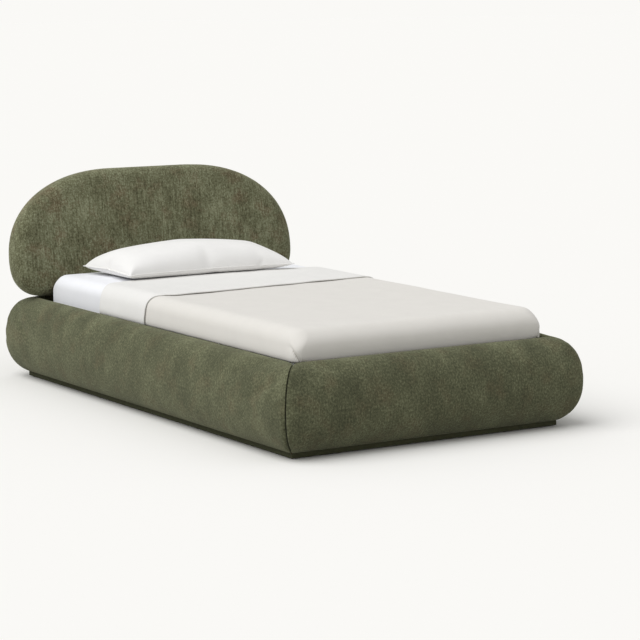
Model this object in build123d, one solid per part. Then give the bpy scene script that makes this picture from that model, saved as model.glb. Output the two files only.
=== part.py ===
from build123d import *
from math import atan2, copysign, cos, degrees, hypot, pi, radians, sin, tan
import os

os.makedirs("parts", exist_ok=True)

# A single upholstered bed with a lift-up platform over a storage bay, in millimetres.
# X runs across the bed, Y from its foot to its headboard, and Z up from the floor.
bed_width = 1324
bed_length = 2236

# Rails: a timber board inside a deep bullnose of foam and cloth, mitred at the corners
rail_wall = 112
rail_height = 318
rail_exponent = 2.2
rail_inner_radius = 14
rail_board = 27
rail_top_foam = 42
rail_seam = 0.5
rail_curve_count = 12

# Plinth, glides and storage floor
glide_height = 4
glide_radius = 13
glide_chamfer = 1
glide_across_shares = (-0.93, -0.33, 0.33, 0.93)
glide_along_shares = (-0.5, 0, 0.5)
plinth_board = 17
plinth_width = 70
plinth_inset = 81
bearer_width = 60
bearer_shares = (-0.5, 0, 0.5)
floor_thickness = 6
floor_margin = 1
floor_split = 2

# Clearances
fit_gap = 0.3
pin_gap = 0.1
cut_overrun = 20

# Corner brackets and screws
bracket_leg = 60
bracket_height = 45
bracket_plate = 3
bracket_screw_shares = (0.42, 0.8)
screw_radius = 6
screw_head = 3

# Lift-up platform: a welded tube frame with sprung slats
platform_side_gap = 60
platform_foot_gap = 25
platform_head_gap = 113
platform_bottom = 190
frame_tube = 30
frame_wall = 1.5
frame_radius = 3
slat_width = 60
slat_thickness = 10
slat_count = 14
slat_end_gap = 15
holder_base = 3
holder_lip = 2
holder_wall = 4
holder_reach = 34
holder_inset = 1

# Rests that carry the closed platform
rest_width = 60
rest_drop = 55
rest_side_reach = 75
rest_foot_reach = 45
rest_side_share = -0.1
rest_foot_share = 0.62
buffer_height = 4
buffer_radius = 9

# Lift mechanism, in the plane beside each rail: places along Y and up Z
lift_steel = 5
plate_steel = 3
plate_margin = 22
plate_screw_shares = (0.16, 0.5, 0.84)
plate_upper_share = 0.74
lift_set_in = 606
rear_base_z = 120
rear_arm_length = 280.6
rear_arm_rise = 19.28
front_base_ahead = 184.8
front_base_z = 75
front_arm_length = 400
front_arm_rise = 17.16
strut_base_behind = 100
strut_base_z = 70
strut_ear_ahead = 95
strut_ear_z = 190
strut_offset_y = 1.6
strut_offset_z = 2.8
tie_behind = 200
tie_z = 125
tie_radius = 12.5
tie_wall = 1.5
arm_boss = 18
ear_boss = 13
pivot_radius = 5
pivot_collar = 8
pivot_head = 9
head_thickness = 2
slack_radius = 8.8
slack_collar = 12
stud_radius = 4
stud_collar = 7
stud_slack = 7.8
strut_radius = 9
strut_eye = 12
strut_eye_thickness = 10
strut_neck = 3.5
strut_tube_start = 14
strut_tube_end = 200
rod_radius = 4
rod_start = 100
rod_clearance = 0.3
angle_front = 42
angle_length = 325
angle_below = 14
angle_above = 42
angle_bolt_count = 3

# Layers across the gap between rail and platform, measured inwards from the rail's board
rear_arm_layer = 5
front_arm_layer = 13
angle_layer = 21
strut_layer = 35

# Mattress stop: a bent rod at the foot of the platform, also used to lift it
stop_rod = 3
stop_width = 420
stop_height = 96
stop_stand_off = 9.5
stop_bend = 9
cross_tube_shares = (0.34, 0.67)

# Mattress and bedding
mattress_side_gap = 20
mattress_foot_gap = 20
mattress_head_gap = 93
mattress_height = 200
mattress_corner = 55
mattress_round = 44
mattress_round_count = 4
cushion_shares = ((0, 0.065), (0.04, 0.02), (0.13, 0), (0.5, 0.016))
sheet_thickness = 1.6
sheet_gap = 0.4
sheet_drop = 120
blanket_thickness = 5
blanket_hem = 330
blanket_flare = 3
blanket_corner = 28
blanket_head_gap = 473
drape_shares = ((0, 1), (0.3, 0.55), (0.65, 0.18))
fold_thickness = 6
fold_foot_gap = 868
fold_head_gap = 413

# Headboard: a wide rounded slab of foam on a board, leaning back on two legs
headboard_overhang = 8
headboard_flat = 333
headboard_top = 856
headboard_centre = 491
headboard_below = 303.5
headboard_exponent = 2.2
headboard_curve_count = 7
headboard_thickness = 120
headboard_lean = 9
headboard_set_in = 89
headboard_level = 350
headboard_edge = 44
headboard_corner = 120
back_pad_edge = 14
front_foam = 45
headboard_board = 18
board_inset = 60
back_pad_gap = 1
leg_width = 60
leg_thickness = 25
leg_share = 0.69
leg_foot = 60
leg_head = 620
block_bottom = 150
block_top = 290
leg_bolt_radius = 4
leg_bolt_shares = (0.25, 0.75)

# Pillow
pillow_width = 770
pillow_depth = 400
pillow_under = 40
pillow_over = 98
pillow_tilt = 2
pillow_across = -25
pillow_head_gap = 258
pillow_waist = 14
pillow_sink = 22
pillow_step_count = 6
pillow_step_angle = 13

# Worked out from the sizes above
half_width = bed_width / 2
half_length = bed_length / 2
inner_x = half_width - rail_wall
inner_y = half_length - rail_wall
rail_bottom = glide_height + plinth_board
rail_top = rail_bottom + rail_height
board_top = rail_top - rail_top_foam
plinth_x = half_width - plinth_inset
plinth_y = half_length - plinth_inset
plinth_inner_x = plinth_x - plinth_width
platform_x = inner_x - platform_side_gap
platform_foot = platform_foot_gap - inner_y
platform_head = inner_y - platform_head_gap
platform_length = platform_head - platform_foot
frame_top = platform_bottom + frame_tube
slat_bottom = frame_top + holder_base
slat_top = slat_bottom + slat_thickness
mattress_bottom = slat_top + holder_lip + fit_gap
mattress_top = mattress_bottom + mattress_height
mattress_foot = mattress_foot_gap - inner_y
mattress_head = inner_y - mattress_head_gap
mattress_width = 2 * (inner_x - mattress_side_gap)
mattress_length = mattress_head - mattress_foot
headboard_width = bed_width + 2 * headboard_overhang
leg_place = leg_share * inner_x
headboard_front = inner_y - headboard_set_in
rest_top = platform_bottom - buffer_height

lift_y = inner_y - lift_set_in
rear_base = (lift_y, rear_base_z)
front_base = (lift_y - front_base_ahead, front_base_z)
strut_base = (lift_y + strut_base_behind, strut_base_z)
strut_ear = (lift_y - strut_ear_ahead, strut_ear_z)
tie_place = (lift_y + tie_behind, tie_z)
rear_tip = (rear_base[0] + rear_arm_length * cos(radians(rear_arm_rise)),
            rear_base[1] + rear_arm_length * sin(radians(rear_arm_rise)))
front_tip = (front_base[0] + front_arm_length * cos(radians(front_arm_rise)),
             front_base[1] + front_arm_length * sin(radians(front_arm_rise)))
rear_arm_outer = inner_x - rear_arm_layer
front_arm_outer = inner_x - front_arm_layer
angle_outer = inner_x - angle_layer
strut_x = inner_x - strut_layer


def block(x, y, z):
    """A box between pairs of low and high values."""
    size = (x[1] - x[0], y[1] - y[0], z[1] - z[0])
    centre = (sum(x) / 2, sum(y) / 2, sum(z) / 2)
    return Pos(*centre) * Box(*size)


def group(*shapes):
    """Separate solids that share one node."""
    return Compound([solid for shape in shapes for solid in shape.solids()])


def mirrored(shape):
    return mirror(shape, about=Plane.YZ)


def both_sides(*shapes):
    return group(*shapes, *[mirrored(shape) for shape in shapes])


def disc(place, radius, start, end):
    """A cylinder along X between two values of X, at a place given along Y and Z."""
    return Pos((start + end) / 2, *place) * Rot(0, 90, 0) * Cylinder(radius, abs(end - start))


def between(start, end, share):
    """The place that lies a share of the way from one place to another."""
    return tuple(low + share * (high - low) for low, high in zip(start, end))


def superellipse(width, height, exponent, start, end, count):
    """Points on a superellipse between two angles in degrees."""
    points = []
    for index in range(count + 1):
        turn = radians(start + (end - start) * index / count)
        across = copysign(abs(cos(turn)) ** (2 / exponent), cos(turn))
        up = copysign(abs(sin(turn)) ** (2 / exponent), sin(turn))
        points.append((width * across, height * up))
    return points


def rail_profile(inner):
    """The section of a rail: flat inside, rounded over its top and bulging outside."""
    middle = (rail_bottom + rail_top) / 2
    start = inner + rail_inner_radius
    bulge = superellipse(rail_wall - rail_inner_radius, rail_height / 2, rail_exponent, -90, 90,
                         rail_curve_count)
    points = [(start + across, middle + up) for across, up in bulge]
    outside = Curve() + [ThreePointArc(*points[index:index + 3])
                         for index in range(0, rail_curve_count, 2)]
    corner = RadiusArc((start, rail_top), (inner, rail_top - rail_inner_radius), -rail_inner_radius)
    inside = Polyline((inner, rail_top - rail_inner_radius), (inner, rail_bottom), (start, rail_bottom))
    return make_face(outside + corner + inside)


def mitre_plan(outer, inner, outer_end, inner_end):
    """A rail seen from above, with its two mitred ends."""
    points = [(outer, outer_end), (outer, -outer_end), (inner, -inner_end), (inner, inner_end)]
    plan = make_face(Polyline(*points, close=True))
    return Pos(0, 0, rail_bottom) * extrude(plan, amount=rail_height + cut_overrun, dir=(0, 0, 1))


def side_board():
    reach = inner_y + rail_board
    return block((inner_x, inner_x + rail_board), (-reach, reach), (rail_bottom, board_top))


def end_board():
    return block((-inner_x, inner_x), (inner_y, inner_y + rail_board), (rail_bottom, board_top))


def side_rail_pad():
    """The right rail's foam and cloth, round its board."""
    whole = extrude(Plane.XZ * rail_profile(inner_x), amount=half_length, both=True)
    plan = mitre_plan(half_width, inner_x, half_length - rail_seam, inner_y - rail_seam)
    return (whole & plan) - side_board() - end_board() - mirror(end_board(), about=Plane.XZ)


def end_rail_pad():
    """The head rail's foam and cloth, round its board."""
    whole = extrude(Plane.YZ * rail_profile(inner_y), amount=half_width, both=True)
    plan = mitre_plan(half_length, inner_y, half_width - rail_seam, inner_x - rail_seam)
    plan = mirror(Rot(0, 0, 90) * plan, about=Plane.YZ)
    return (whole & plan) - end_board() - side_board() - mirrored(side_board())


def side_plinth():
    return block((plinth_inner_x, plinth_x), (-plinth_y, plinth_y), (glide_height, rail_bottom))


def end_plinth():
    return block((-plinth_inner_x, plinth_inner_x), (plinth_y - plinth_width, plinth_y),
                 (glide_height, rail_bottom))


def floor_glides():
    """Nail-on glides under the plinth, four to an end and three more to a side."""
    glide = Pos(0, 0, glide_height / 2) * Cylinder(glide_radius, glide_height)
    glide = chamfer(glide.edges().group_by(Axis.Z)[0], glide_chamfer)
    end_line = plinth_y - plinth_width / 2
    side_line = plinth_x - plinth_width / 2
    places = [(share * plinth_x, end * end_line) for share in glide_across_shares for end in (-1, 1)]
    places += [(side * side_line, share * plinth_y) for share in glide_along_shares for side in (-1, 1)]
    return group(*[Pos(x, y, 0) * glide for x, y in places])


def floor_bearers():
    """Timber bearers between the side plinths, under the storage floor."""
    bearer = block((-plinth_inner_x, plinth_inner_x), (-bearer_width / 2, bearer_width / 2),
                   (glide_height, rail_bottom))
    return group(*[Pos(0, share * plinth_y, 0) * bearer for share in bearer_shares])


def storage_floor(end):
    """One of the two loose floor panels: end is -1 at the foot and 1 at the head."""
    reach = sorted((end * floor_split / 2, end * (inner_y - floor_margin)))
    return block((floor_margin - inner_x, inner_x - floor_margin), reach,
                 (rail_bottom, rail_bottom + floor_thickness))


def corner_brackets():
    """Steel angles that tie the side boards to the end boards, with their screws."""
    low = (rail_bottom + board_top) / 2 + bracket_height / 2
    levels = (low, low + bracket_height)
    along_x = block((inner_x - bracket_leg, inner_x), (inner_y - bracket_plate, inner_y), levels)
    along_y = block((inner_x - bracket_plate, inner_x), (inner_y - bracket_leg, inner_y), levels)
    bracket = along_x + along_y
    screws = []
    middle = sum(levels) / 2
    for share in bracket_screw_shares:
        side = disc((inner_y - share * bracket_leg, middle), screw_radius,
                    inner_x - bracket_plate - screw_head, inner_x - bracket_plate)
        end = Pos(inner_x - share * bracket_leg, inner_y - bracket_plate - screw_head / 2, middle) \
            * Rot(90, 0, 0) * Cylinder(screw_radius, screw_head)
        screws += [side, end]
    four = both_sides(bracket, mirror(bracket, about=Plane.XZ))
    screws = group(*screws)
    return four, both_sides(screws, mirror(screws, about=Plane.XZ))


def platform_rests():
    """Steel angles under the closed platform, two at the foot and one on each side."""
    side_y = rest_side_share * half_length
    foot_x = rest_foot_share * platform_x
    plate = bracket_plate
    side_span = (side_y - rest_width / 2, side_y + rest_width / 2)
    foot_span = (foot_x - rest_width / 2, foot_x + rest_width / 2)
    side = block((inner_x - plate, inner_x), side_span, (rest_top - rest_drop, rest_top))
    side += block((inner_x - rest_side_reach, inner_x), side_span, (rest_top - plate, rest_top))
    foot = block(foot_span, (-inner_y, plate - inner_y), (rest_top - rest_drop, rest_top))
    foot += block(foot_span, (-inner_y, rest_foot_reach - inner_y), (rest_top - plate, rest_top))
    pad = Cylinder(buffer_radius, buffer_height - fit_gap)
    level = rest_top + (buffer_height - fit_gap) / 2
    side_pad = Pos(inner_x - rest_side_reach + buffer_radius, side_y, level) * pad
    foot_pad = Pos(foot_x, rest_foot_reach - inner_y - buffer_radius, level) * pad
    return both_sides(side, foot), both_sides(side_pad, foot_pad)


def lobed_plate(places, outer, thickness):
    """A flat steel plate round circles at the given places, lying across X."""
    circles = [Pos(*place) * CenterArc((0, 0), radius, 0, 360) for place, radius in places]
    outline = make_hull([edge for circle in circles for edge in circle.edges()])
    return Pos(outer, 0, 0) * extrude(Plane.YZ * outline, amount=thickness, dir=(-1, 0, 0))


def hinge_plate():
    """The base plate on a side rail, with its three pivot holes."""
    places = [(rear_base, plate_margin), (front_base, plate_margin), (strut_base, plate_margin)]
    plate = lobed_plate(places, inner_x, plate_steel)
    for place, radius in ((rear_base, pivot_radius), (front_base, pivot_radius), (strut_base, stud_radius)):
        plate -= disc(place, radius, inner_x - plate_steel - cut_overrun, inner_x + cut_overrun)
    return plate


def hinge_plate_screws():
    """Three screws along the plate's lower edge and one above, between its pivots."""
    face = inner_x - plate_steel
    spots = [between(front_base, strut_base, share) for share in plate_screw_shares]
    spots.append(between(front_base, rear_base, plate_upper_share))
    return both_sides(*[disc(spot, screw_radius, face - screw_head, face) for spot in spots])


def rear_pivot():
    """The pin that the rear arm turns on."""
    inner = rear_arm_outer - lift_steel
    face = inner_x - plate_steel
    pin = disc(rear_base, pivot_radius, inner - fit_gap - head_thickness, inner_x)
    pin += disc(rear_base, pivot_collar, rear_arm_outer + fit_gap, face)
    return pin + disc(rear_base, pivot_head, inner - fit_gap - head_thickness, inner - fit_gap)


def front_pivot():
    inner = front_arm_outer - lift_steel
    face = inner_x - plate_steel
    pin = disc(front_base, pivot_radius, inner - fit_gap - head_thickness, inner_x)
    pin += disc(front_base, pivot_collar, front_arm_outer + fit_gap, face)
    return pin + disc(front_base, pivot_head, inner - fit_gap - head_thickness, inner - fit_gap)


def strut_stud(place, root, collar_root):
    """A stud for one eye of the gas strut, with a collar up to the eye and a head past it."""
    eye_outer = strut_x + strut_eye_thickness / 2 + fit_gap
    eye_inner = strut_x - strut_eye_thickness / 2 - fit_gap
    stud = disc(place, stud_radius, eye_inner - head_thickness, root)
    stud += disc(place, stud_collar, eye_outer, collar_root)
    return stud + disc(place, strut_eye - fit_gap, eye_inner - head_thickness, eye_inner)


def rear_arm():
    """A three-cornered plate: base pivot, platform pivot and tie tube."""
    places = [(rear_base, arm_boss), (rear_tip, arm_boss), (tie_place, tie_radius + lift_steel)]
    arm = lobed_plate(places, rear_arm_outer, lift_steel)
    reach = (rear_arm_outer - lift_steel - cut_overrun, rear_arm_outer + cut_overrun)
    arm -= disc(rear_base, pivot_radius + pin_gap, *reach)
    arm -= disc(rear_tip, pivot_radius + pin_gap, *reach)
    return arm - disc(tie_place, tie_radius, *reach)


def tie_tube():
    """The closed tube that makes both rear arms rise together."""
    end = rear_arm_outer
    void = disc(tie_place, tie_radius - tie_wall, tie_wall - end, end - tie_wall)
    return disc(tie_place, tie_radius, -end, end) - void


def front_arm():
    """A three-cornered plate: base pivot, loose platform pivot and the strut's ear."""
    places = [(front_base, arm_boss), (front_tip, arm_boss), (strut_ear, ear_boss)]
    arm = lobed_plate(places, front_arm_outer, lift_steel)
    reach = (front_arm_outer - lift_steel - cut_overrun, front_arm_outer + cut_overrun)
    arm -= disc(front_base, pivot_radius + pin_gap, *reach)
    arm -= disc(front_tip, slack_radius, *reach)
    return arm - disc(strut_ear, stud_radius, *reach)


def strut_axis():
    """Length and slope of the closed gas strut, from stud to stud."""
    along = strut_ear[0] + strut_offset_y - strut_base[0]
    up = strut_ear[1] + strut_offset_z - strut_base[1]
    return hypot(along, up), degrees(atan2(up, along))


def on_strut(shape):
    """Turn a piece modelled along +Y from the origin onto the strut's axis."""
    slope = strut_axis()[1]
    return Pos(strut_x, *strut_base) * Rot(slope, 0, 0) * shape


def strut_ring(distance, hole):
    ring = Cylinder(strut_eye, strut_eye_thickness) - Cylinder(hole, strut_eye_thickness + cut_overrun)
    return Pos(0, distance, 0) * Rot(0, 90, 0) * ring


def gas_cylinder():
    length = strut_tube_end - strut_tube_start
    tube = Pos(0, strut_tube_start + length / 2, 0) * Rot(90, 0, 0) * Cylinder(strut_radius, length)
    neck = strut_eye - strut_eye_thickness / 4
    tube += Pos(0, (neck + strut_tube_start) / 2, 0) * Rot(90, 0, 0) \
        * Cylinder(strut_neck, strut_tube_start - neck)
    bore_start = rod_start - strut_radius
    bore = strut_tube_end - bore_start
    tube -= Pos(0, bore_start + (bore + cut_overrun) / 2, 0) * Rot(90, 0, 0) \
        * Cylinder(rod_radius + rod_clearance, bore + cut_overrun)
    return on_strut(tube + strut_ring(0, stud_radius + pin_gap))


def gas_rod():
    length = strut_axis()[0]
    end = length - (strut_eye + stud_slack) / 2
    rod = Pos(0, (rod_start + end) / 2, 0) * Rot(90, 0, 0) * Cylinder(rod_radius, end - rod_start)
    rod -= Pos(0, length, 0) * Rot(0, 90, 0) * Cylinder(stud_slack, strut_eye)
    return on_strut(rod + strut_ring(length, stud_slack))


def frame_bar(x, y):
    """A closed square tube of the platform's frame."""
    levels = (platform_bottom, frame_top)
    bar = block(x, y, levels)
    long_axis = Axis.Y if y[1] - y[0] > x[1] - x[0] else Axis.X
    bar = fillet(bar.edges().filter_by(long_axis), frame_radius)
    void = [(low + frame_wall, high - frame_wall) for low, high in (x, y, levels)]
    return bar - block(*void)


def platform_side_tube():
    return frame_bar((platform_x - frame_tube, platform_x), (platform_foot, platform_head))


def platform_cross(centre):
    return frame_bar((frame_tube - platform_x, platform_x - frame_tube),
                     (centre - frame_tube / 2, centre + frame_tube / 2))


def mounting_angle():
    """The steel side plate that the arms carry, with a ledge under the side tube."""
    start = front_tip[0] - angle_front
    span = (start, start + angle_length)
    upright = block((angle_outer - plate_steel, angle_outer), span,
                    (platform_bottom - angle_below, platform_bottom + angle_above))
    ledge = block((platform_x - frame_tube + frame_radius, angle_outer), span,
                  (platform_bottom - plate_steel, platform_bottom))
    angle = upright + ledge
    reach = (angle_outer - plate_steel - cut_overrun, angle_outer + cut_overrun)
    for place in (rear_tip, front_tip):
        angle -= disc(place, pivot_radius, *reach)
    return angle


def mounting_angle_bolts():
    start = front_tip[0] - angle_front
    bolts = []
    for index in range(angle_bolt_count):
        y = start + angle_length * (index + 0.5) / angle_bolt_count
        level = platform_bottom - plate_steel - screw_head / 2
        bolts.append(Pos(platform_x - frame_tube / 2, y, level) * Cylinder(screw_radius, screw_head))
    return both_sides(*bolts)


def platform_pivots():
    """The pins that stand out of the mounting angles: a plain one and a loose one."""
    inner = angle_outer - plate_steel
    rear_face = rear_arm_outer + fit_gap
    rear = disc(rear_tip, pivot_radius, inner, rear_face + head_thickness)
    rear += disc(rear_tip, pivot_collar, angle_outer, rear_arm_outer - lift_steel - fit_gap)
    rear += disc(rear_tip, pivot_head, rear_face, rear_face + head_thickness)
    front_face = front_arm_outer + fit_gap
    front = disc(front_tip, pivot_radius, inner, front_face + head_thickness)
    front += disc(front_tip, slack_collar, angle_outer, front_arm_outer - lift_steel - fit_gap)
    front += disc(front_tip, slack_collar, front_face, front_face + head_thickness)
    return both_sides(rear, front)


def slat_centres():
    pitch = platform_length / slat_count
    return [platform_foot + pitch * (index + 0.5) for index in range(slat_count)]


def slats():
    reach = platform_x - slat_end_gap
    bars = [block((-reach, reach), (y - slat_width / 2, y + slat_width / 2), (slat_bottom, slat_top))
            for y in slat_centres()]
    return group(*bars)


def slat_holders():
    """Plastic caps that carry the slat ends on the side tubes."""
    outer = platform_x - holder_inset
    half = slat_width / 2
    holder = block((outer - holder_reach, outer), (-half - holder_wall, half + holder_wall),
                   (frame_top, slat_top + holder_lip))
    holder -= block((outer - holder_reach - cut_overrun, platform_x - slat_end_gap + fit_gap),
                    (-half - fit_gap, half + fit_gap), (slat_bottom, slat_top + pin_gap))
    return both_sides(*[Pos(0, y, 0) * holder for y in slat_centres()])


def mattress_stop():
    """A bent rod that stands behind the mattress's foot end."""
    x = stop_width / 2
    low = platform_bottom + frame_tube / 2
    high = low + stop_height
    y = platform_foot - stop_stand_off
    corners = [(-x, platform_foot, low), (-x, y, low), (-x, y, high)]
    corners += [(-across, along, up) for across, along, up in reversed(corners)]
    route = FilletPolyline(*corners, radius=stop_bend)
    return sweep(Plane(route @ 0, z_dir=route % 0) * Circle(stop_rod), path=route)


def rounded_top(grow):
    """Heights and insets of the mattress's outline over its rounded top edge, grown outwards."""
    radius = mattress_round + grow
    levels = []
    for step in range(mattress_round_count + 1):
        turn = pi / 2 * step / mattress_round_count
        z = mattress_top - mattress_round + radius * sin(turn)
        levels.append((z, mattress_round - radius * cos(turn)))
    return levels


def cushion_levels(grow):
    """Heights and insets of the mattress's outline from its bottom to its top, grown outwards."""
    levels = [(mattress_bottom + height_share * mattress_height, inset_share * mattress_height - grow)
              for height_share, inset_share in cushion_shares]
    levels[0] = (mattress_bottom - grow, levels[0][1])
    return levels + rounded_top(grow)


def outline_at(z, inset, corner):
    """The mattress's rounded outline at one height, drawn in all round."""
    width = mattress_width - 2 * inset
    length = mattress_length - 2 * inset
    return Pos(0, (mattress_foot + mattress_head) / 2, z) * RectangleRounded(width, length, corner)


def soft_block(levels):
    return loft([outline_at(z, inset, mattress_corner - inset) for z, inset in levels], ruled=True)


def mattress():
    return soft_block(cushion_levels(0))


def fitted_sheet():
    """A close cloth shell over the mattress, open below."""
    outer = soft_block(cushion_levels(sheet_gap + sheet_thickness))
    inner = soft_block(cushion_levels(sheet_gap))
    below = block((-half_width, half_width), (-half_length, half_length), (0, mattress_top - sheet_drop))
    return outer - inner - below


def draped_block(grow):
    """The bedding's outer form: rounded over the mattress's top and spread towards the rails."""
    drop = mattress_top - mattress_round - blanket_hem
    sections = []
    for height_share, flare_share in drape_shares:
        inset = -grow - flare_share * blanket_flare
        corner = mattress_corner + grow + flare_share * (blanket_corner - mattress_corner)
        sections.append(outline_at(blanket_hem + height_share * drop, inset, corner))
    for z, inset in rounded_top(grow):
        sections.append(outline_at(z, inset, mattress_corner - inset))
    return loft(sections, ruled=True)


def blanket_grow():
    """How far the blanket's inner face stands off the mattress."""
    return 2 * sheet_gap + sheet_thickness


def fold_grow():
    """How far the turned-back sheet's inner face stands off the mattress."""
    return blanket_grow() + blanket_thickness + sheet_gap


def blanket():
    """The blanket: over the mattress's top, and down its sides and foot into the gap by the rails."""
    outer = draped_block(blanket_grow() + blanket_thickness)
    inner = draped_block(blanket_grow())
    reach = (-half_length, mattress_head - blanket_head_gap)
    return (outer - inner) & block((-half_width, half_width), reach,
                                   (blanket_hem - cut_overrun, mattress_top + cut_overrun))


def top_sheet():
    """The sheet's turned-back end, folded over the blanket."""
    outer = draped_block(fold_grow() + fold_thickness)
    inner = draped_block(fold_grow())
    reach = (mattress_head - fold_foot_gap, mattress_head - fold_head_gap)
    return (outer - inner) & block((-half_width, half_width), reach,
                                   (blanket_hem - cut_overrun, mattress_top + cut_overrun))


def lean(shape):
    """Stand a headboard piece, modelled with its front face at Y=0, in its leaning place."""
    return Pos(0, headboard_front, headboard_level) * Rot(-headboard_lean, 0, 0) * shape


def board_heights():
    """Top, centre and bottom of the headboard in its own plane, with its bottom on the rails."""
    slope = radians(headboard_lean)
    edge = headboard_edge
    top = (headboard_top - headboard_level - edge) / cos(slope) + edge + edge * tan(slope)
    centre = (headboard_centre - headboard_level) / cos(slope) + headboard_thickness / 2 * tan(slope)
    seat = rail_top + fit_gap + edge - headboard_level
    bottom = seat / cos(slope) - edge + (headboard_thickness - edge) * tan(slope)
    return top, centre, bottom


def board_outline(inset):
    """The headboard's outline, drawn in all round: a wide pill with its lower side flattened."""
    top, centre, bottom = board_heights()
    flat = headboard_flat / 2
    across = (headboard_width - headboard_flat) / 2
    upper = [(flat + x, centre + z) for x, z in
             superellipse(across - inset, top - centre - inset, headboard_exponent, 0, 90,
                          headboard_curve_count)]
    lower = [(flat + x, centre + z) for x, z in
             superellipse(across - inset, headboard_below - inset, headboard_exponent, -90, 0,
                          headboard_curve_count)]
    right = Spline(*upper, tangents=[(0, 1), (-1, 0)]) + Spline(*lower, tangents=[(1, 0), (0, 1)])
    lines = Line((-flat, top - inset), (flat, top - inset))
    lines += Line((-flat, centre - headboard_below + inset), (flat, centre - headboard_below + inset))
    pill = make_face(right + mirror(right, about=Plane.YZ) + lines)
    low = bottom + inset
    kept = Pos(0, (low + top) / 2) * Rectangle(headboard_width + cut_overrun, top - low)
    face = pill & kept
    corners = [vertex for vertex in face.vertices() if abs(vertex.Y - low) < fit_gap]
    return fillet(corners, headboard_corner - inset / 2)


def board_slab(inset, front, back):
    """A plain slab of the headboard's outline between two depths behind its front face."""
    return Pos(0, front, 0) * extrude(Plane.XZ * board_outline(inset), amount=back - front,
                                      dir=(0, 1, 0))


def headboard_form():
    """The whole headboard: a thick pill whose edges are rounded all the way over."""
    slab = board_slab(0, 0, headboard_thickness)
    faces = slab.faces().sort_by(Axis.Y)
    return fillet(faces[0].edges() + faces[-1].edges(), headboard_edge)


def headboard_front_pad():
    pocket = board_slab(board_inset, front_foam, headboard_thickness + cut_overrun)
    legs = leg_bar(fit_gap)
    return lean(headboard_form() - pocket - legs - mirrored(legs))


def headboard_board_panel():
    return lean(board_slab(board_inset, front_foam, front_foam + headboard_board))


def headboard_back_pad():
    start = front_foam + headboard_board + leg_thickness
    slab = board_slab(board_inset + back_pad_gap, start, headboard_thickness)
    return lean(fillet(slab.faces().sort_by(Axis.Y)[-1].edges(), back_pad_edge))


def leg_bar(grow):
    """A straight leg in the headboard's own plane, behind its board."""
    slope = cos(radians(headboard_lean))
    start = front_foam + headboard_board
    across = (leg_place - leg_width / 2 - grow, leg_place + leg_width / 2 + grow)
    levels = ((leg_foot - headboard_level) / slope, (leg_head - headboard_level) / slope)
    return block(across, (start - grow, start + leg_thickness + grow), levels)


def leg_bolt_places():
    return [block_bottom + share * (block_top - block_bottom) for share in leg_bolt_shares]


def bolt_rods(radius, start, end):
    """Rods along Y at the bolt places of the right leg."""
    rods = [Pos(leg_place, (start + end) / 2, z) * Rot(90, 0, 0) * Cylinder(radius, end - start)
            for z in leg_bolt_places()]
    return group(*rods)


def headboard_leg():
    leg = lean(leg_bar(0))
    for rod in bolt_rods(leg_bolt_radius + pin_gap, inner_y / 2, half_length).solids():
        leg -= rod
    return leg


def leg_back(z):
    """How far back the leg's rear face is at one height."""
    slope = radians(headboard_lean)
    depth = front_foam + headboard_board + leg_thickness
    return headboard_front + depth / cos(slope) + (z - headboard_level) * tan(slope)


def leg_block():
    """A wedge that fills the space between a leg and the head rail's board."""
    points = [(leg_back(block_bottom), block_bottom), (inner_y, block_bottom), (inner_y, block_top),
              (leg_back(block_top), block_top)]
    wedge = extrude(Plane.YZ * make_face(Polyline(*points, close=True)), amount=leg_width / 2, both=True)
    wedge = Pos(leg_place, 0, 0) * wedge
    for rod in bolt_rods(leg_bolt_radius + pin_gap, inner_y / 2, half_length).solids():
        wedge -= rod
    return wedge


def leg_bolts():
    """Bolts from the legs' front faces into the wedges."""
    bolts = []
    slope = radians(headboard_lean)
    for z in leg_bolt_places():
        face = leg_back(z) - leg_thickness / cos(slope)
        head_end = face - screw_radius * tan(slope)
        shank = Rot(90, 0, 0) * Cylinder(leg_bolt_radius, inner_y - head_end)
        head = Rot(90, 0, 0) * Cylinder(screw_radius, screw_head)
        bolts.append(Pos(leg_place, (head_end + inner_y) / 2, z) * shank
                     + Pos(leg_place, head_end - screw_head / 2, z) * head)
    return both_sides(*bolts)


def pillow_outline(inset):
    """The pillow seen from above: pointed corners, and sides that draw in between them."""
    x = pillow_width / 2 - inset
    y = pillow_depth / 2 - inset
    waist = pillow_waist
    front = ThreePointArc((-x, -y), (0, waist - y), (x, -y))
    right = ThreePointArc((x, -y), (x - waist, 0), (x, y))
    return make_face(front + right + mirror(front, about=Plane.XZ) + mirror(right, about=Plane.YZ))


def pillow():
    """A plump pillow that lies on the sheets in front of the headboard, fuller above its seam."""
    sections = []
    for step in range(-pillow_step_count, pillow_step_count + 1):
        turn = radians(pillow_step_angle * step)
        inset = (1 - cos(turn)) * pillow_depth / 2
        swell = pillow_over if step > 0 else pillow_under
        sections.append(Pos(0, 0, swell * sin(turn)) * pillow_outline(inset))
    base = mattress_top + fold_grow() + fold_thickness + fit_gap
    form = Rot(pillow_tilt, 0, 0) * loft(sections, ruled=True)
    sunk = form.bounding_box().min.Z + pillow_sink
    form = Pos(pillow_across, mattress_head - pillow_head_gap, base - sunk) * form
    return form - block((-bed_width, bed_width), (0, bed_length), (0, base))


brackets, bracket_screws = corner_brackets()
rests, rest_buffers = platform_rests()

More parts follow.
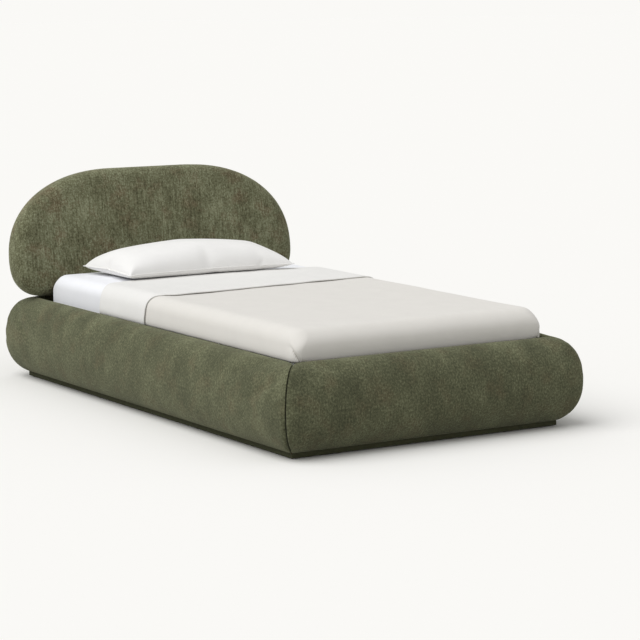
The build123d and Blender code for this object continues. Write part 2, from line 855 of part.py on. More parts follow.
pieces = {
    "floor_glides": floor_glides(),
    "plinth_board_right": side_plinth(),
    "plinth_board_left": mirrored(side_plinth()),
    "plinth_board_head": end_plinth(),
    "plinth_board_foot": mirror(end_plinth(), about=Plane.XZ),
    "floor_bearers": floor_bearers(),
    "storage_floor_foot": storage_floor(-1),
    "storage_floor_head": storage_floor(1),
    "rail_board_right": side_board(),
    "rail_board_left": mirrored(side_board()),
    "rail_board_head": end_board(),
    "rail_board_foot": mirror(end_board(), about=Plane.XZ),
    "rail_pad_right": side_rail_pad(),
    "rail_pad_left": mirrored(side_rail_pad()),
    "rail_pad_head": end_rail_pad(),
    "rail_pad_foot": mirror(end_rail_pad(), about=Plane.XZ),
    "corner_brackets": brackets,
    "corner_bracket_screws": bracket_screws,
    "platform_rests": rests,
    "rest_buffers": rest_buffers,
    "headboard_board": headboard_board_panel(),
    "headboard_front_pad": headboard_front_pad(),
    "headboard_back_pad": headboard_back_pad(),
    "headboard_leg_right": headboard_leg(),
    "headboard_leg_left": mirrored(headboard_leg()),
    "leg_blocks": both_sides(leg_block()),
    "leg_bolts": leg_bolts(),
    "hinge_plate_right": hinge_plate(),
    "hinge_plate_left": mirrored(hinge_plate()),
    "hinge_plate_screws": hinge_plate_screws(),
    "base_pivots": both_sides(rear_pivot(), front_pivot()),
    "strut_base_studs": both_sides(strut_stud(strut_base, inner_x, inner_x - plate_steel)),
    "rear_arm_right": rear_arm(),
    "rear_arm_left": mirrored(rear_arm()),
    "tie_tube": tie_tube(),
    "front_arm_right": front_arm(),
    "front_arm_left": mirrored(front_arm()),
    "strut_stud_right": strut_stud(strut_ear, front_arm_outer, front_arm_outer - lift_steel),
    "strut_stud_left": mirrored(strut_stud(strut_ear, front_arm_outer, front_arm_outer - lift_steel)),
    "gas_cylinder_right": gas_cylinder(),
    "gas_cylinder_left": mirrored(gas_cylinder()),
    "gas_rod_right": gas_rod(),
    "gas_rod_left": mirrored(gas_rod()),
    "platform_tube_right": platform_side_tube(),
    "platform_tube_left": mirrored(platform_side_tube()),
    "platform_tube_foot": platform_cross(platform_foot + frame_tube / 2),
    "platform_tube_head": platform_cross(platform_head - frame_tube / 2),
    "platform_cross_tubes": group(*[platform_cross(platform_foot + share * platform_length)
                                    for share in cross_tube_shares]),
    "mounting_angle_right": mounting_angle(),
    "mounting_angle_left": mirrored(mounting_angle()),
    "mounting_angle_bolts": mounting_angle_bolts(),
    "platform_pivots": platform_pivots(),
    "slats": slats(),
    "slat_holders": slat_holders(),
    "mattress_stop": mattress_stop(),
    "mattress": mattress(),
    "fitted_sheet": fitted_sheet(),
    "blanket": blanket(),
    "top_sheet": top_sheet(),
    "pillow": pillow(),
}

for name, piece in pieces.items():
    export_step(piece, f"parts/{name}.step")
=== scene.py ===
import bmesh
import bpy
import math
from functools import partial
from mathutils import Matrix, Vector, noise


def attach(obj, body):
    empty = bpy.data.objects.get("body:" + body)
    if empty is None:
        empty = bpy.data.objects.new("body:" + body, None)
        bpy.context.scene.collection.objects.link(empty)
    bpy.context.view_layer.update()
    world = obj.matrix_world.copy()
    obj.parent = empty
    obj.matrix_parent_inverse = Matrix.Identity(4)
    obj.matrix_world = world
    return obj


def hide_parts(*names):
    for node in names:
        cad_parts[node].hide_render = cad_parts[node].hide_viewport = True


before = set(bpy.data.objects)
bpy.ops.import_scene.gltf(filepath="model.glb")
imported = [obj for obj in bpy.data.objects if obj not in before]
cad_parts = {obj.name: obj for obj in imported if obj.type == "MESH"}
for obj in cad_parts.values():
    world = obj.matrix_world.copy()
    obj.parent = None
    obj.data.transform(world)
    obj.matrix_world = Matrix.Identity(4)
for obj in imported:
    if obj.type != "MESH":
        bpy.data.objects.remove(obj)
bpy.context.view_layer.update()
scene = bpy.context.scene
print("frame loaded,", len(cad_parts), "nodes")


def toLinear(code):
    values = [int(code[i:i + 2], 16) / 255 for i in (1, 3, 5)]
    return tuple(v / 12.92 if v <= 0.04045 else ((v + 0.055) / 1.055) ** 2.4 for v in values) + (1.0,)


def ease(low, high, value):
    t = min(max((value - low) / (high - low), 0.0), 1.0)
    return t * t * (3 - 2 * t)


def wobble(place, size, seed):  # smooth noise from -1 to 1, with bumps about `size` metres wide
    return noise.noise(Vector(place) / size + Vector((seed, seed * 0.37, -seed)))


def evenly(start, end, count):
    return [start + (end - start) * i / count for i in range(count + 1)]


def spread(start, end, step):  # evenly spaced places, about a step apart
    return evenly(start, end, max(1, round(abs(end - start) / step)))


def hump(low, full, fade, high, value):  # 0 below low and above high, 1 between full and fade
    return ease(low, full, value) * (1 - ease(fade, high, value))


def superellipse(turn, exponent):  # its point at an angle, reaching 1 both ways
    return [math.copysign(abs(part) ** (2 / exponent), part) for part in (math.cos(turn), math.sin(turn))]


def resample(line, count):  # the same line with evenly spaced points
    lengths = [0.0]
    for a, b in zip(line, line[1:]):
        lengths.append(lengths[-1] + math.dist(a, b))
    points, k = [], 0
    for i in range(count):
        want = lengths[-1] * i / (count - 1)
        while k < len(line) - 2 and lengths[k + 1] < want:
            k += 1
        t = (want - lengths[k]) / max(lengths[k + 1] - lengths[k], 1e-9)
        points.append(tuple(p + (q - p) * t for p, q in zip(line[k], line[k + 1])))
    return points


def addObject(name, data):
    item = bpy.data.objects.new(name, data)
    scene.collection.objects.link(item)
    return item


def addPiece(name, points, faces=(), edges=()):
    mesh = bpy.data.meshes.new(name)
    mesh.from_pydata([tuple(p) for p in points], edges, faces)
    mesh.validate()
    mesh.shade_smooth()
    return addObject(name, mesh)


def discard(piece):
    mesh = piece.data
    bpy.data.objects.remove(piece)
    bpy.data.meshes.remove(mesh)


def settle(piece):  # bake the modifiers into a plain mesh
    view = bpy.context.evaluated_depsgraph_get()
    mesh = bpy.data.meshes.new_from_object(piece.evaluated_get(view))
    old = piece.data
    piece.modifiers.clear()
    piece.data = mesh
    bpy.data.meshes.remove(old)
    mesh.shade_smooth()
    return piece


def subdivide(piece):
    smooth = piece.modifiers.new("Smooth", "SUBSURF")
    smooth.levels = smooth.render_levels = 1
    return settle(piece)


def reshape(piece, *steps):  # work on the mesh itself, one step after the other
    form = bmesh.new()
    form.from_mesh(piece.data)
    for step in steps:
        step(form)
    form.to_mesh(piece.data)
    form.free()
    return piece


def weld(form):
    bmesh.ops.remove_doubles(form, verts=form.verts, dist=1e-5)


def turnOut(form):
    bmesh.ops.recalc_face_normals(form, faces=form.faces)


def relax(form, verts, times):
    for _ in range(times):
        bmesh.ops.smooth_vert(form, verts=verts, factor=0.5, use_axis_x=True, use_axis_y=True,
                              use_axis_z=True)


def setVectors(piece, name, places):
    layer = piece.data.attributes.new(name, "FLOAT_VECTOR", "POINT")
    layer.data.foreach_set("vector", [c for p in places for c in p])


def setWeave(piece, weaveAt=tuple):  # cloth coordinates in metres, read by the fabric materials
    setVectors(piece, "weave", [weaveAt(v.co) for v in piece.data.vertices])


def copyNode(name, title):  # a merged copy of a CAD node's mesh
    piece = addObject(title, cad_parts[name].data.copy())
    piece.data.materials.clear()
    return reshape(piece, weld, turnOut)


def dress(piece, finish, slot, body, *nodes):
    piece.data.materials.clear()
    piece.data.materials.append(finishes[finish])
    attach(piece, body)
    if nodes:
        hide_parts(*nodes)


def puff(piece, pinned, pressure, cap, steps=20):
    # Inflate the cover like stuffed cloth; no point moves further than the cap.
    group = piece.vertex_groups.new(name="held")
    group.add(pinned, 1.0, "REPLACE")
    cloth = piece.modifiers.new("Cloth", "CLOTH")
    cloth.settings.quality = 5
    cloth.settings.use_pressure = True
    cloth.settings.uniform_pressure_force = pressure
    cloth.settings.vertex_group_mass = "held"
    cloth.settings.effector_weights.gravity = 0
    cloth.point_cache.frame_start = 1
    cloth.point_cache.frame_end = steps
    for step in range(1, steps + 1):
        scene.frame_set(step)
    view = bpy.context.evaluated_depsgraph_get()
    moved = [v.co.copy() for v in piece.evaluated_get(view).data.vertices]
    piece.modifiers.clear()
    piece.vertex_groups.clear()
    scene.frame_set(1)
    for vertex, place in zip(piece.data.vertices, moved):
        step = place - vertex.co
        vertex.co += step * min(1.0, cap / max(step.length, 1e-9))


def source(value):  # a node stands for its first output in use, a colour code for its colour
    if isinstance(value, bpy.types.Node):
        return next(o for o in value.outputs if o.enabled)
    return toLinear(value) if isinstance(value, str) and value[0] == "#" else value


def addNode(tree, kind, inputs=None, **settings):
    node = tree.nodes.new(kind)
    for name, value in settings.items():
        setattr(node, name, value)
    for name, value in (inputs or {}).items():
        value = source(value)
        if isinstance(value, bpy.types.NodeSocket):
            tree.links.new(value, node.inputs[name])
        else:
            node.inputs[name].default_value = value
    return node


def startFinish(name, follows="", **fixed):
    # A material with its shader's own sockets set, the way to add its nodes, and the coordinates
    # that its patterns follow, if any: the cloth's weave or the object's place
    finish = bpy.data.materials.new(name)
    finish.use_nodes = True
    add = partial(addNode, finish.node_tree)
    shader = finish.node_tree.nodes["Principled BSDF"]
    for socket, value in fixed.items():
        shader.inputs[socket.replace("_", " ")].default_value = source(value)
    place = None
    if follows == "weave":
        place = add("ShaderNodeAttribute", attribute_name="weave").outputs["Vector"]
    elif follows == "place":
        place = add("ShaderNodeTexCoord").outputs["Object"]
    return finish, add, place


def endFinish(finish, **links):  # the nodes that lead to the shader's sockets
    tree = finish.node_tree
    for socket, node in links.items():
        tree.links.new(source(node), tree.nodes["Principled BSDF"].inputs[socket.replace("_", " ")])
    return finish


# The headboard's copy of the same chenille is painted lighter than the rails' copy, to stand in for the
# light that it catches: painted light. Its stronger slubs and ribs draw the weave's own look.
chenilleLook = {
    "headboard": {"dark": "#423f2c", "body": "#6e6f55", "light": "#979a7e", "brown": "#72624c",
                  "slub": 0.40, "yarn": 0.34, "patch": 0.50, "grain": 0.95, "rib": 0.16, "worn": 0.7},
    "rails": {"dark": "#37382a", "body": "#585a44", "light": "#818366", "brown": "#665a44",
              "slub": 0.14, "yarn": 0.20, "patch": 0.46, "grain": 0.92, "rib": 0.05, "worn": 0.45},
}


def chenille(name, look):
    # Woven chenille: a short, uneven pile on thick yarns. It is matt and speckled, with faint upright
    # streaks, brownish worn patches and a lighter fuzz where it turns away from the eye.
    finish, add, weave = startFinish(name, "weave", Roughness=0.95, Sheen_Weight=0.3, Sheen_Roughness=0.5,
                                     Sheen_Tint="#c9cbb0", Specular_IOR_Level=0.12)
    tones, total = {}, None
    # Slub yarns about 7 mm wide and 90 mm long, then single yarns 3 mm wide, run up the cloth
    for key, scale, detail in (("slub", (140, 11, 90), 2.0), ("yarn", (330, 34, 210), 2.0),
                               ("patch", (6.5, 5.0, 6.5), 3.0), ("grain", (150, 130, 150), 4.0)):
        place = add("ShaderNodeMapping", {"Vector": weave, "Scale": scale})
        tones[key] = add("ShaderNodeTexNoise", {
            "Vector": place, "Scale": 1.0, "Detail": detail, "Roughness": 0.7})
        tone = add("ShaderNodeMapRange", {"Value": tones[key], "From Min": 0.32, "From Max": 0.68,
                                          "To Min": -look[key], "To Max": look[key]})
        total = tone if total is None else add("ShaderNodeMath", {0: total, 1: tone}, operation="ADD")
    # Worn patches about 120 mm across show the brown ground cloth through the pile
    bare = add("ShaderNodeTexNoise", {"Vector": weave, "Scale": 9.0, "Detail": 4.0, "Roughness": 0.65})
    worn = add("ShaderNodeMapRange", {
        "Value": bare, "From Min": 0.5, "From Max": 0.68, "To Max": look["worn"]})
    colour = add("ShaderNodeMix", {0: worn, 6: look["body"], 7: look["brown"]}, data_type="RGBA")
    for end, shade in ((-1.3, "dark"), (1.3, "light")):
        share = add("ShaderNodeMapRange", {"Value": total, "From Min": 0.0, "From Max": end})
        colour = add("ShaderNodeMix", {0: share, 6: colour, 7: look[shade]}, data_type="RGBA")
    # The yarns stand up about half a millimetre, and the tufts of the pile more
    rib = add("ShaderNodeBump", {"Height": tones["slub"], "Strength": look["rib"], "Distance": 0.0022})
    fuzz = add("ShaderNodeBump", {
        "Height": tones["grain"], "Strength": 0.75, "Distance": 0.0016, "Normal": rib})
    return endFinish(finish, Base_Color=colour, Normal=fuzz)


def bedLinen(name, colour, thread, creases, sheen):
    # Plain-woven bed cotton: matt, nearly even in tone, with a fine thread and soft laundering creases.
    finish, add, weave = startFinish(name, "weave", Roughness=0.88, Sheen_Weight=sheen,
                                     Sheen_Roughness=0.5, Specular_IOR_Level=0.25)
    # Real threads are 0.3 mm apart; these are drawn about 1.5 mm apart so that they show
    warp, weft = [add("ShaderNodeTexWave", {
        "Vector": weave, "Scale": thread, "Distortion": 0.6, "Detail": 1.0}, bands_direction=way)
        for way in "XY"]
    cloth = add("ShaderNodeMath", {0: warp.outputs["Fac"], 1: weft.outputs["Fac"]}, operation="MAXIMUM")
    crease = add("ShaderNodeTexNoise", {
        "Vector": weave, "Scale": 14.0, "Detail": 3.0, "Roughness": 0.5, "Distortion": 0.4})
    # The hollows of the creases are painted up to 2.5 % darker: painted shade in the creases.
    tint = add("ShaderNodeMapRange", {
        "Value": crease, "From Min": 0.3, "From Max": 0.7, "To Min": 0.975, "To Max": 1.0})
    shade = add("ShaderNodeMix", {0: 1.0, 6: colour, 7: tint}, data_type="RGBA", blend_type="MULTIPLY")
    soft = add("ShaderNodeBump", {"Height": crease, "Strength": creases, "Distance": 0.004})
    fine = add("ShaderNodeBump", {"Height": cloth, "Strength": 0.12, "Distance": 0.0004, "Normal": soft})
    return endFinish(finish, Base_Color=shade, Normal=fine)


def ticking(name):
    # Knitted mattress ticking quilted in diamonds 80 mm wide: white, matt and springy.
    finish, add, place = startFinish(name, "place", Roughness=0.9, Sheen_Weight=0.1)
    lines = []
    for turn in (math.radians(45), math.radians(-45)):
        turned = add("ShaderNodeMapping", {"Vector": place, "Rotation": (turn, 0, turn)})
        band = add("ShaderNodeTexWave", {
            "Vector": turned, "Scale": 5.5}, wave_profile="SAW", bands_direction="X")
        lines.append(add("ShaderNodeMapRange", {
            "Value": band.outputs["Fac"], "From Min": 0.92, "From Max": 1.0, "To Min": 1.0, "To Max": 0.0}))
    quilt = add("ShaderNodeMath", {0: lines[0], 1: lines[1]}, operation="MINIMUM")
    knit = add("ShaderNodeTexVoronoi", {"Vector": place, "Scale": 420.0})
    colour = add("ShaderNodeMix", {0: quilt, 6: "#cfcfca", 7: "#ededea"}, data_type="RGBA")
    deep = add("ShaderNodeBump", {"Height": quilt, "Strength": 0.6, "Distance": 0.004})
    fine = add("ShaderNodeBump", {"Height": knit, "Strength": 0.3, "Distance": 0.0006, "Normal": deep})
    return endFinish(finish, Base_Color=colour, Normal=fine)


def sawnWood(name, light, dark, grain, rings, gloss):
    # Planed softwood or veneer: growth rings cut lengthways, with a finer fibre over them.
    finish, add, place = startFinish(name, "place", Specular_IOR_Level=0.4)
    along = add("ShaderNodeMapping", {
        "Vector": place, "Scale": [0.06 if axis == grain else 1.0 for axis in "XYZ"]})
    bend = add("ShaderNodeTexNoise", {"Vector": along, "Scale": 9.0, "Detail": 2.0})
    push = add("ShaderNodeMix", {0: 0.06, 6: along, 7: bend.outputs["Color"]}, data_type="RGBA")
    ring = add("ShaderNodeTexWave", {
        "Vector": push, "Scale": rings, "Distortion": 1.5, "Detail": 2.0}, bands_direction="DIAGONAL")
    fibre = add("ShaderNodeTexNoise", {"Vector": along, "Scale": 700.0, "Detail": 2.0})
    tone = add("ShaderNodeMix", {0: 0.3, 6: ring, 7: fibre.outputs["Color"]}, data_type="RGBA")
    value = add("ShaderNodeRGBToBW", {"Color": tone})
    colour = add("ShaderNodeMix", {0: value, 6: light, 7: dark}, data_type="RGBA")
    rough = add("ShaderNodeMapRange", {"Value": value, "To Min": gloss, "To Max": gloss + 0.15})
    bump = add("ShaderNodeBump", {"Height": fibre, "Strength": 0.25, "Distance": 0.0004})
    return endFinish(finish, Base_Color=colour, Roughness=rough, Normal=bump)


def platedSteel(name, colour, rough, spangle):
    # Zinc or chrome plate: bright metal whose gloss varies a little from place to place.
    finish, add, place = startFinish(name, "place", Metallic=1.0, Base_Color=colour)
    cloud = add("ShaderNodeTexNoise", {"Vector": place, "Scale": spangle, "Detail": 3.0})
    gloss = add("ShaderNodeMapRange", {
        "Value": cloud, "From Min": 0.3, "From Max": 0.7, "To Min": rough * 0.8, "To Max": rough * 1.3})
    bump = add("ShaderNodeBump", {"Height": cloud, "Strength": 0.08, "Distance": 0.0003})
    return endFinish(finish, Roughness=gloss, Normal=bump)


def powderCoat(name, colour, rough, peel):
    # Baked powder coat: even colour with a fine orange peel about 2 mm across.
    finish, add, place = startFinish(name, "place", Specular_IOR_Level=0.5)
    skin = add("ShaderNodeTexNoise", {"Vector": place, "Scale": 480.0, "Detail": 2.0})
    cloud = add("ShaderNodeTexNoise", {"Vector": place, "Scale": 18.0, "Detail": 3.0})
    tint, gloss = [add("ShaderNodeMapRange", {
        "Value": cloud, "From Min": 0.3, "From Max": 0.7, "To Min": ends[0], "To Max": ends[1]})
        for ends in ((0.88, 1.1), (rough - 0.06, rough + 0.08))]
    shade = add("ShaderNodeMix", {0: 1.0, 6: colour, 7: tint}, data_type="RGBA", blend_type="MULTIPLY")
    bump = add("ShaderNodeBump", {"Height": skin, "Strength": peel, "Distance": 0.0004})
    return endFinish(finish, Base_Color=shade, Roughness=gloss, Normal=bump)


def plinthCloth(name):
    # The same chenille pulled tight over the recessed plinth: it has little pile.
    finish, add, place = startFinish(name, "place", Roughness=0.95, Sheen_Weight=0.1,
                                     Specular_IOR_Level=0.1)
    mottle = add("ShaderNodeTexNoise", {"Vector": place, "Scale": 60.0, "Detail": 3.0})
    colour = add("ShaderNodeMix", {0: mottle, 6: "#3c3d2c", 7: "#55573f"}, data_type="RGBA")
    pile = add("ShaderNodeTexNoise", {"Vector": place, "Scale": 700.0, "Detail": 2.0})
    bump = add("ShaderNodeBump", {"Height": pile, "Strength": 0.5, "Distance": 0.0008})
    return endFinish(finish, Base_Color=colour, Normal=bump)


finishes = {name: make(name, *look) for name, make, *look in (
    ("chenilleHeadboard", chenille, chenilleLook["headboard"]),
    ("chenilleRails", chenille, chenilleLook["rails"]),
    ("plinthCloth", plinthCloth),
    ("fittedPercale", bedLinen, "#f6f7fb", 210, 0.10, 0.08),
    ("topSheetPercale", bedLinen, "#ebeae7", 210, 0.12, 0.08),
    ("brushedCotton", bedLinen, "#e3e0da", 120, 0.10, 0.2),
    ("pillowPercale", bedLinen, "#f4f3f1", 210, 0.14, 0.08),
    ("ticking", ticking),
    ("tapeCotton", powderCoat, "#c9c8c2", 0.85, 0.5),
    ("pineX", sawnWood, "#dcb987", "#b98a55", "X", 22, 0.55),
    ("pineY", sawnWood, "#dcb987", "#b98a55", "Y", 22, 0.55),
    ("pineZ", sawnWood, "#dcb987", "#b98a55", "Z", 22, 0.55),
    ("birchPly", sawnWood, "#dcc6a0", "#cdb387", "Y", 5, 0.5),
    ("beechVeneer", sawnWood, "#dfc08f", "#c59c69", "X", 30, 0.3),
    ("zincPlate", platedSteel, "#c4c6c9", 0.32, 90),
    ("hardChrome", platedSteel, "#e3e4e6", 0.07, 40),
    ("blackPowder", powderCoat, "#26272a", 0.42, 0.25),
    ("greyPowder", powderCoat, "#4b4d51", 0.5, 0.35),
    ("strutEnamel", powderCoat, "#141415", 0.2, 0.05),
    ("rubber", powderCoat, "#1f1f20", 0.8, 0.3),
    ("blackPolymer", powderCoat, "#262627", 0.55, 0.15),
    ("whitePolymer", powderCoat, "#e2e2de", 0.4, 0.08),
)}

nodeFinish = {  # a name that ends in an underscore stands for the right one and the left one
    "whitePolymer": "floor_glides",
    "plinthCloth": "plinth_board_ plinth_board_head plinth_board_foot",
    "pineY": "rail_board_",
    "pineX": "rail_board_head rail_board_foot floor_bearers",
    "pineZ": "headboard_leg_ leg_blocks",
    "birchPly": "storage_floor_foot storage_floor_head headboard_board",
    "zincPlate": "corner_brackets corner_bracket_screws leg_bolts hinge_plate_screws mounting_angle_bolts "
                 "base_pivots platform_pivots strut_base_studs strut_stud_",
    "blackPowder": "platform_rests hinge_plate_ rear_arm_ tie_tube front_arm_ mounting_angle_",
    "greyPowder": "platform_tube_ platform_tube_foot platform_tube_head platform_cross_tubes mattress_stop",
    "strutEnamel": "gas_cylinder_",
    "hardChrome": "gas_rod_",
    "rubber": "rest_buffers",
    "beechVeneer": "slats",
    "blackPolymer": "slat_holders",
}
for finish, names in nodeFinish.items():
    for name in names.split():
        for side in ("right", "left") if name.endswith("_") else ("",):
            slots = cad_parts[name + side].data.materials
            slots.clear()
            slots.append(finishes[finish])
print("finishes made")


def startTree(name, sizes):  # a Geometry Nodes tree whose inputs are the named sizes and a finish
    tree = bpy.data.node_groups.new(name, "GeometryNodeTree")
    for way in ("INPUT", "OUTPUT"):
        tree.interface.new_socket(name="Geometry", in_out=way, socket_type="NodeSocketGeometry")
    for title in sizes:
        tree.interface.new_socket(name=title, in_out="INPUT", socket_type="NodeSocketFloat")
    tree.interface.new_socket(name="Finish", in_out="INPUT", socket_type="NodeSocketMaterial")
    return partial(addNode, tree), tree.nodes.new("NodeGroupInput").outputs


def endTree(add, shape, given):
    real = add("GeometryNodeRealizeInstances", {"Geometry": shape})
    skin = add("GeometryNodeSetMaterial", {"Geometry": real, "Material": given["Finish"]})
    return add("NodeGroupOutput", {"Geometry": skin}).id_data


def grow(piece, tree, finish, sizes):  # run a tree on the piece, then keep only its plain mesh
    live = piece.modifiers.new("Grow", "NODES")
    live.node_group = tree
    given = {**sizes, "Finish": finishes[finish]}
    for item in tree.interface.items_tree:
        if item.in_out == "INPUT" and item.name in given:
            live[item.identifier] = given[item.name]
    settle(piece)
    piece.data.set_sharp_from_angle(angle=math.radians(40))


def centredLine(add, length):  # a straight line along x, and its half length
    half = add("ShaderNodeMath", {0: length, 1: 0.5}, operation="MULTIPLY")
    back = add("ShaderNodeMath", {0: half, 1: -1.0}, operation="MULTIPLY")
    start, end = [add("ShaderNodeCombineXYZ", {"X": x}) for x in (back, half)]
    return add("GeometryNodeCurvePrimitiveLine", {"Start": start, "End": end}), half


def roundedBand(add, line, given, steps):  # a flat section with rounded corners, swept along the line
    upright = add("GeometryNodeSetCurveNormal", {"Curve": line}, mode="Z_UP")
    flat = add("GeometryNodeCurvePrimitiveQuadrilateral", {
        "Width": given["Width"], "Height": given["Height"]})
    soft = add("GeometryNodeFilletCurve", {
        "Curve": flat, "Radius": given["Rounding"], "Count": steps, "Limit Radius": True}, mode="POLY")
    return add("GeometryNodeCurveToMesh", {"Curve": upright, "Profile Curve": soft, "Fill Caps": True})


def bandTree(sizes):  # a rounded band swept along the piece's edges: tapes, seams and margins
    add, given = startTree("bandAlongPath", sizes)
    line = add("GeometryNodeMeshToCurve", {"Mesh": given["Geometry"]})
    return endTree(add, roundedBand(add, line, given, 2), given)


def stapleTree(sizes):  # wire staples at even steps along the piece's edges, each a little askew
    add, given = startTree("stapleRow", sizes)
    line = add("GeometryNodeMeshToCurve", {"Mesh": given["Geometry"]})
    places = add("GeometryNodeResampleCurve", {"Curve": line, "Length": given["Spacing"]}, mode="LENGTH")
    crown, _ = centredLine(add, given["Crown"])
    section = add("GeometryNodeCurvePrimitiveCircle", {"Resolution": 6, "Radius": given["Wire"]})
    wire = add("GeometryNodeCurveToMesh", {"Curve": crown, "Profile Curve": section, "Fill Caps": True})
    along = add("GeometryNodeInputTangent")
    askew = add("FunctionNodeRandomValue", {
        0: (-0.12, -0.12, -0.12), 1: (0.12, 0.12, 0.12), "Seed": 11}, data_type="FLOAT_VECTOR")
    aim = add("ShaderNodeVectorMath", {0: along, 1: askew}, operation="ADD")
    turned = add("FunctionNodeAlignRotationToVector", {"Vector": aim}, axis="X")
    row = add("GeometryNodeInstanceOnPoints", {"Points": places, "Instance": wire, "Rotation": turned})
    return endTree(add, row, given)


def slatTree(sizes):  # one sprung slat on every point of the piece: bowed, with rounded long edges
    add, given = startTree("slatRow", sizes)
    line, half = centredLine(add, given["Length"])
    fine = add("GeometryNodeResampleCurve", {"Curve": line, "Count": 15})
    place = add("GeometryNodeInputPosition")
    apart = add("ShaderNodeSeparateXYZ", {"Vector": place})
    share = add("ShaderNodeMath", {0: apart.outputs["X"], 1: half}, operation="DIVIDE")
    square = add("ShaderNodeMath", {0: share, 1: 2.0}, operation="POWER")
    fall = add("ShaderNodeMath", {0: square, 1: given["Bow"]}, operation="MULTIPLY")
    down = add("ShaderNodeMath", {0: fall, 1: -1.0}, operation="MULTIPLY")
    drop = add("ShaderNodeCombineXYZ", {"Z": down})
    bent = add("GeometryNodeSetPosition", {"Geometry": fine, "Offset": drop})
    row = add("GeometryNodeInstanceOnPoints", {
        "Points": given["Geometry"], "Instance": roundedBand(add, bent, given, 3)})
    return endTree(add, row, given)


def screwTree(sizes):  # a pan head with a cross recess on every point, turned along the point's "facing"
    add, given = startTree("screwHeads", sizes)
    crown, arm = [add("ShaderNodeMath", {
        0: given["Radius"], 1: share}, operation="MULTIPLY") for share in (0.62, 0.9)]
    head = add("GeometryNodeMeshCone", {
        "Vertices": 20, "Side Segments": 1, "Radius Top": crown, "Radius Bottom": given["Radius"],
        "Depth": given["Height"]})
    middle = add("ShaderNodeCombineXYZ", {"Z": given["Height"]})
    for long, short in ("XY", "YX"):
        size = add("ShaderNodeCombineXYZ", {long: arm, short: given["Slot"], "Z": given["Height"]})
        cut = add("GeometryNodeMeshCube", {"Size": size})
        raised = add("GeometryNodeTransform", {"Geometry": cut, "Translation": middle})
        head = add("GeometryNodeMeshBoolean", {"Mesh 1": head, "Mesh 2": raised}, operation="DIFFERENCE")
    facing = add("GeometryNodeInputNamedAttribute", {"Name": "facing"}, data_type="FLOAT_VECTOR")
    turned = add("FunctionNodeAlignRotationToVector", {"Vector": facing}, axis="Z")
    row = add("GeometryNodeInstanceOnPoints", {
        "Points": given["Geometry"], "Instance": head, "Rotation": turned})
    return endTree(add, row, given)


def closedLine(title, corners):  # a closed line of edges through the given points
    count = len(corners)
    return addPiece(title, corners, edges=[(i, (i + 1) % count) for i in range(count)])


def islands(name):  # lowest and highest corners of each separate solid of a CAD node
    piece = copyNode(name, "islandCopy")
    form = bmesh.new()
    form.from_mesh(piece.data)
    left, found = set(form.verts), []
    while left:
        group, edge = set(), [left.pop()]
        while edge:
            vertex = edge.pop()
            group.add(vertex)
            near = {link.other_vert(vertex) for link in vertex.link_edges} & left
            left -= near
            edge += near
        found.append([[pick(v.co[k] for v in group) for k in range(3)] for pick in (min, max)])
    form.free()
    discard(piece)
    return found


screwSizes = {"Radius": 0.006, "Height": 0.003, "Slot": 0.0012}


def makeScrews(title, node, tree):
    spots, facing = [], []
    for low, high in islands(node):
        axis = min(range(3), key=lambda k: high[k] - low[k])
        middle = [(a + b) / 2 for a, b in zip(low, high)]
        side = math.copysign(1, middle[axis])
        middle[axis] = max(low[axis] * side, high[axis] * side) * side  # the face that lies on the plate
        spots.append(middle)
        facing.append([-side if k == axis else 0.0 for k in range(3)])
    piece = addPiece(title, spots)
    setVectors(piece, "facing", facing)
    grow(piece, tree, "zincPlate", screwSizes)
    dress(piece, "zincPlate", "zinc_steel", "base", node)


heads = screwTree(screwSizes)
makeScrews("cornerScrewHeads", "corner_bracket_screws", heads)
makeScrews("hingeScrewHeads", "hinge_plate_screws", heads)
print("screw heads grown")

slatSizes = {"Length": 0.950, "Width": 0.060, "Height": 0.0092, "Rounding": 0.0032, "Bow": 0.0010}
slatPlace = {"foot": -0.981, "head": 0.893, "count": 14, "middle": 0.2284}


def makeSlats():
    s = slatPlace
    pitch = (s["head"] - s["foot"]) / s["count"]
    piece = addPiece("sprungSlats", [(0, s["foot"] + pitch * (i + 0.5), s["middle"])
                                     for i in range(s["count"])])
    grow(piece, slatTree(slatSizes), "beechVeneer", slatSizes)
    dress(piece, "beechVeneer", "slat_wood", "platform", "slats")


makeSlats()
print("slats grown")

railSizes = {
    "wall": 0.112, "bottom": 0.0198, "height": 0.3227, "exponent": 2.2, "innerRadius": 0.014,
    "board": 0.027, "boardTop": 0.297, "boardRise": 0.002, "boardGap": 0.0005, "shrink": 0.0008,
    "around": 44, "step": 0.014, "skew": 0.28, "seam": 0.0028, "tuck": 0.0115, "tuckWidth": 0.0075,
    "seamRows": (0.0, 0.0012, 0.003, 0.006, 0.010, 0.016, 0.023), "plainRows": 0.034,
    "pressure": 5.0, "cap": 0.0065, "weaveStep": 0.0091, "heldWeave": (0.4, 0.007),
}
innerX, innerY = 0.550, 1.006


def railLine(s):  # the cloth's line in the section, from under the board to the inner top edge
    radius, half, top, line = s["innerRadius"], s["height"] / 2, s["bottom"] + s["height"], []
    for degrees in evenly(-90, 90, 60):
        across, up = superellipse(math.radians(degrees), s["exponent"])
        depth = radius + (s["wall"] - radius) * across
        if depth >= s["board"] or degrees > 0:
            line.append((depth, s["bottom"] + half + half * up))
    for degrees in range(15, 91, 15):
        turn = math.radians(degrees)
        line.append((radius * (1 - math.sin(turn)), top - radius * (1 - math.cos(turn))))
    return line + [(0.0, s["boardTop"])]


def tubeFaces(rows, ring):  # the faces between rows of points that each close in a ring
    return [(row + i, row + (i + 1) % ring, row + ring + (i + 1) % ring, row + ring + i)
            for row in range(0, (rows - 1) * ring, ring) for i in range(ring)]


